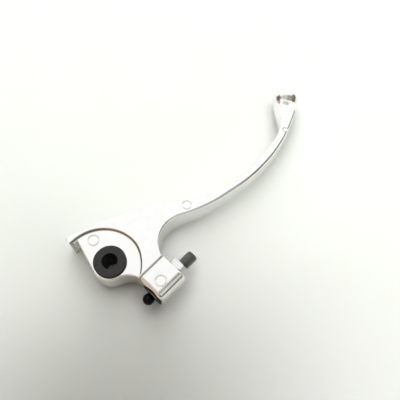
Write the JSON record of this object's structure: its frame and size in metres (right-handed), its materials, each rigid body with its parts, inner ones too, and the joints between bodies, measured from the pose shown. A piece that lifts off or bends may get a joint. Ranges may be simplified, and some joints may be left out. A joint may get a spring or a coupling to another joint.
{
  "type": "motorcycle brake lever",
  "caption": "Cast aluminium hand lever with a bowed blade, ball end, bushed pivot eye and a threaded boss with an adjuster screw and lock nut.",
  "frame": {"origin": "middle of the pivot bore", "axes": "+Z along the pivot, +X along the lever towards the ball end and parallel to the adjuster, +Y towards the back of the lever, where the fingers lie"},
  "size_m": [0.1973, 0.0706, 0.0194],
  "materials": {
    "polished_aluminium": "polished casting",
    "black_polymer": "moulded, matt",
    "black_oxide_steel": "black oxide, oiled",
    "zinc_plated_steel": "bright zinc plate",
    "black_rubber": "plain"
  },
  "bodies": {
    "lever": {"lever": "polished_aluminium", "upper_pivot_bush": "black_polymer", "lower_pivot_bush": "black_polymer", "lock_nut": "zinc_plated_steel", "washer": "black_rubber"},
    "adjuster": {"adjuster_screw": "black_oxide_steel"}
  },
  "joints": [
    {"name": "adjuster_travel", "type": "slide", "parent": "lever", "child": "adjuster", "axis": [-1, 0, 0], "range_m": [-0.001, 0.008]}
  ]
}
